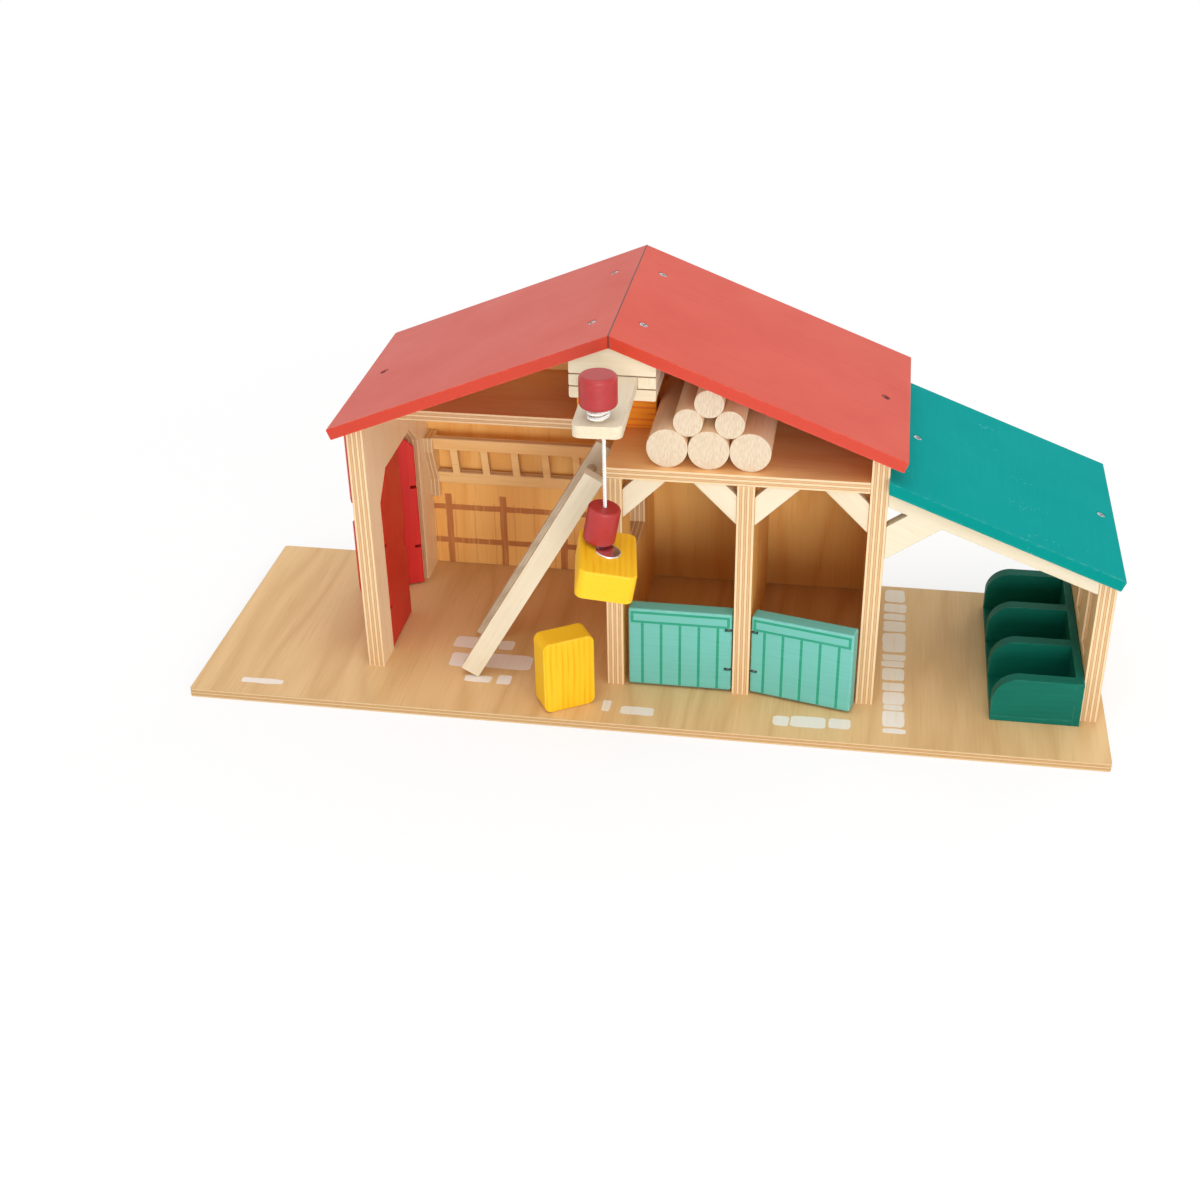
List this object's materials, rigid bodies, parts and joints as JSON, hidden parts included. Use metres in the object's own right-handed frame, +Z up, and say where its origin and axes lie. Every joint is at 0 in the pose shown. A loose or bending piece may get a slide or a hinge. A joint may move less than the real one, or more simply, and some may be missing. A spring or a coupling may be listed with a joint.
{
  "type": "toy barn",
  "caption": "Wooden toy barn with gabled roof, loft, stalls with hinged doors, lean-to, and a sliding gable crane whose winch lifts a bale on a magnet hook.",
  "frame": {"origin": "middle of the base plate's underside", "axes": "+Z up, +X to the lean-to's side along the base's length, -Y to the open front with the crane"},
  "size_m": [0.6, 0.2405, 0.258],
  "materials": {
    "base_ply": "clear matt varnish",
    "wall_ply": "clear matt varnish",
    "pale_wood": "clear matt varnish",
    "log_wood": "bare, sanded",
    "red_paint": "satin paint",
    "dark_red_paint": "satin paint",
    "teal_paint": "satin paint",
    "green_paint": "satin paint",
    "mint_paint": "satin paint",
    "yellow_paint": "satin paint",
    "steel": "bright",
    "chrome": "polished",
    "cord": "braided"
  },
  "bodies": {
    "barn": {"base_plate": "base_ply", "left_wall": "wall_ply", "stall_wall": "wall_ply", "middle_wall": "wall_ply", "right_wall": "wall_ply", "back_wall": "wall_ply", "loft_floor": "wall_ply", "roof_left": "red_paint", "roof_right": "red_paint", "lean_to_roof": "teal_paint", "lean_to_wall": "wall_ply", "lean_to_truss": "pale_wood", "lean_to_cleat": "wall_ply", "stall_brace_1": "pale_wood", "stall_brace_2": "pale_wood", "stall_brace_3": "pale_wood", "stall_brace_4": "pale_wood", "roof_screws": "steel", "hinge_eyes": "steel", "hay_rack_sides": "wall_ply", "hay_rack_grille": "wall_ply", "crane_gable_block": "pale_wood", "rear_ridge_block": "wall_ply", "crane_side_blocks": "pale_wood", "crane_bottom_plate": "pale_wood"},
    "near_leaf": {"near_leaf": "dark_red_paint", "near_leaf_pins": "steel"},
    "far_leaf": {"far_leaf": "dark_red_paint", "far_leaf_pins": "steel"},
    "left_stable_door": {"left_stable_door": "mint_paint", "left_stable_pins": "steel"},
    "right_stable_door": {"right_stable_door": "mint_paint", "right_stable_pins": "steel"},
    "beam": {"crane_beam": "pale_wood", "cord_lead": "cord", "cord_drop": "cord"},
    "winch": {"winch_knob": "dark_red_paint", "winch_spindle": "pale_wood", "cord_winding": "cord"},
    "hook": {"hook_body": "dark_red_paint", "hook_magnet": "chrome"},
    "hanging_bale": {"hanging_bale": "yellow_paint", "bale_plate": "chrome"},
    "floor_bale": {"floor_bale": "yellow_paint"},
    "loft_bale": {"loft_bale": "yellow_paint"},
    "log_pile": {"log_large_1": "log_wood", "log_large_2": "log_wood", "log_large_3": "log_wood", "log_small_1": "log_wood", "log_small_2": "log_wood", "log_top_1": "log_wood"},
    "ladder": {"ladder_near_rail": "pale_wood", "ladder_far_rail": "pale_wood", "ladder_rungs": "pale_wood"},
    "nest_box": {"nest_divider_1": "green_paint", "nest_divider_2": "green_paint", "nest_divider_3": "green_paint", "nest_divider_4": "green_paint", "nest_floor": "green_paint", "nest_back": "green_paint"}
  },
  "joints": [
    {"name": "near_leaf_hinge", "type": "hinge", "parent": "barn", "child": "near_leaf", "pos_m": [-0.183, -0.0291, 0.062], "axis": [0, 0, 1], "range_deg": [0, 95]},
    {"name": "far_leaf_hinge", "type": "hinge", "parent": "barn", "child": "far_leaf", "pos_m": [-0.183, 0.0626, 0.062], "axis": [0, 0, 1], "range_deg": [-26, 66]},
    {"name": "left_stable_hinge", "type": "hinge", "parent": "barn", "child": "left_stable_door", "pos_m": [0.0569, -0.0515, 0.039], "axis": [0, 0, 1], "range_deg": [0, 92]},
    {"name": "right_stable_hinge", "type": "hinge", "parent": "barn", "child": "right_stable_door", "pos_m": [0.0741, -0.0515, 0.039], "axis": [0, 0, 1], "range_deg": [-79, 12.9]},
    {"name": "beam_slide", "type": "slide", "parent": "barn", "child": "beam", "axis": [0.0262, -0.9997, 0], "range_m": [-0.02, 0.03]},
    {"name": "winch_turn", "type": "hinge", "parent": "beam", "child": "winch", "pos_m": [-0.01394, -0.12147, 0.236], "axis": [0, 0, 1], "range_deg": [-300, 455], "deforming": ["cord_lead"]},
    {"name": "hook_hoist", "type": "slide", "parent": "beam", "child": "hook", "axis": [0, 0, 1], "range_m": [-0.03, 0.045], "deforming": ["cord_drop"]},
    {"name": "bale_pull_off", "type": "slide", "parent": "hook", "child": "hanging_bale", "axis": [0.1623, -0.9863, -0.0301], "range_m": [0, 0.03]},
    {"name": "floor_bale_lift", "type": "slide", "parent": "barn", "child": "floor_bale", "axis": [0, 0, 1], "range_m": [0, 0.02]},
    {"name": "loft_bale_lift", "type": "slide", "parent": "barn", "child": "loft_bale", "axis": [0, 0, 1], "range_m": [0, 0.015]},
    {"name": "log_pile_slide", "type": "slide", "parent": "barn", "child": "log_pile", "axis": [0, -1, 0], "range_m": [0, 0.02]},
    {"name": "ladder_lift", "type": "slide", "parent": "barn", "child": "ladder", "axis": [0, 0, 1], "range_m": [0, 0.035]},
    {"name": "nest_box_lift", "type": "slide", "parent": "barn", "child": "nest_box", "axis": [0, 0, 1], "range_m": [0, 0.04]}
  ],
  "couplings": [
    {"joint": "hook_hoist", "follows": "winch_turn", "m_per_rad": 0.0056}
  ]
}
